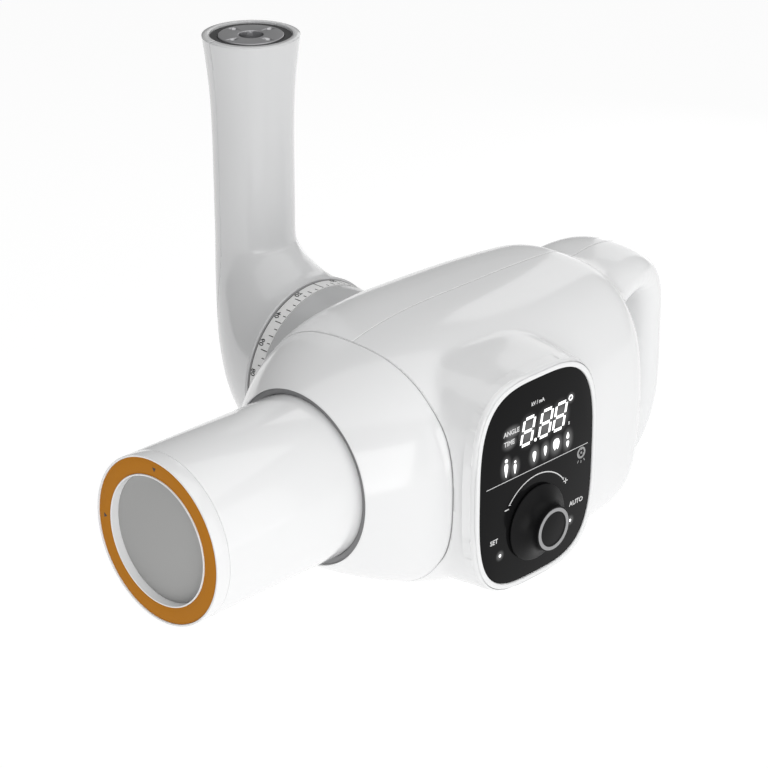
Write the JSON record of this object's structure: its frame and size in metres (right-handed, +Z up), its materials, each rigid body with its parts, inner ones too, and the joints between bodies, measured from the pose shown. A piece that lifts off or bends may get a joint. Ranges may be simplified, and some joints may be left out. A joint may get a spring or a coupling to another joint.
{
  "type": "dental x-ray head",
  "caption": "Wall-arm dental X-ray head: round beam cone, white body with rear grab loop and black control panel, tilting in an L-shaped yoke.",
  "frame": {"origin": "centre of the flat flange face on top of the yoke, where the wall arm bolts on", "axes": "+Z up out of the flange, the beam leaves along -Y, the control panel faces +X"},
  "size_m": [0.2353, 0.3295, 0.2334],
  "materials": {
    "white_shell": "gloss white moulded shell",
    "cone_white": "gloss white cone",
    "arm_white": "slightly greyer gloss white arm",
    "scale_print": "satin white band with dark printed scale",
    "dark_ring": "dark grey recess rings",
    "orange_ring": "orange aperture ring",
    "grey_window": "grey beam window",
    "black_glass": "black gloss panel",
    "black_knob": "black gloss knob",
    "ring_metal": "satin metal ring",
    "display_white": "white display segments",
    "steel": "bright steel",
    "bronze": "bearing bronze",
    "cast_alloy": "cast alloy",
    "lead_grey": "lead sheet",
    "copper": "copper",
    "glass_clear": "clear glass",
    "board_green": "circuit board",
    "seal_black": "black rubber"
  },
  "bodies": {
    "arm_socket": {"swivel_spindle": "steel", "spindle_nut": "steel"},
    "yoke": {"yoke_arm": "arm_white", "yoke_cover": "arm_white", "cover_screws": "steel", "swivel_bush_upper": "bronze", "swivel_bush_lower": "bronze", "tilt_flange": "cast_alloy", "tilt_shaft": "steel", "friction_disc": "seal_black", "spring_washers": "steel", "tilt_nut": "steel", "lip_gasket": "dark_ring", "swivel_seal": "seal_black"},
    "head": {"nose_shell": "white_shell", "housing_right": "white_shell", "housing_left": "white_shell", "housing_screws": "steel", "cone_tube": "cone_white", "cone_end_ring": "cone_white", "aperture_ring": "orange_ring", "cone_window": "grey_window", "cone_liner": "lead_grey", "cone_socket": "dark_ring", "oil_tank": "cast_alloy", "tank_gasket": "seal_black", "tank_lid": "cast_alloy", "expansion_bellows": "seal_black", "tank_window": "grey_window", "beam_filter": "cast_alloy", "lead_collimator": "lead_grey", "tube_insert": "glass_clear", "anode": "copper", "cathode": "steel", "transformer_core": "steel", "high_voltage_coil": "copper", "tank_bracket": "cast_alloy", "neck_collar": "arm_white", "scale_band": "scale_print", "tilt_hub": "cast_alloy", "tilt_bush_inner": "bronze", "tilt_bush_outer": "bronze", "panel_bezel": "white_shell", "panel_glass": "black_glass", "display_board": "board_green", "digit_display": "display_white", "control_board": "board_green", "board_spacers": "steel", "encoder_case": "black_knob"},
    "plunger": {"encoder_plunger": "steel"},
    "knob": {"knob": "black_knob", "knob_ring": "ring_metal"}
  },
  "joints": [
    {"name": "yoke_swivel", "type": "hinge", "parent": "arm_socket", "child": "yoke", "pos_m": [0, 0, 0], "axis": [0, 0, 1], "range_deg": [-165, 165]},
    {"name": "head_tilt", "type": "hinge", "parent": "yoke", "child": "head", "pos_m": [0.0544, 0, -0.162], "axis": [1, 0, 0], "range_deg": [-150, 150]},
    {"name": "knob_press", "type": "slide", "parent": "head", "child": "plunger", "axis": [-1, 0, 0], "range_m": [0, 0.0006], "stiffness_N_per_m": 4000, "springref_m": -0.0003},
    {"name": "knob_turn", "type": "hinge", "parent": "plunger", "child": "knob", "pos_m": [0.2044, -0.0136, -0.1851], "axis": [1, 0, 0], "continuous": true}
  ]
}
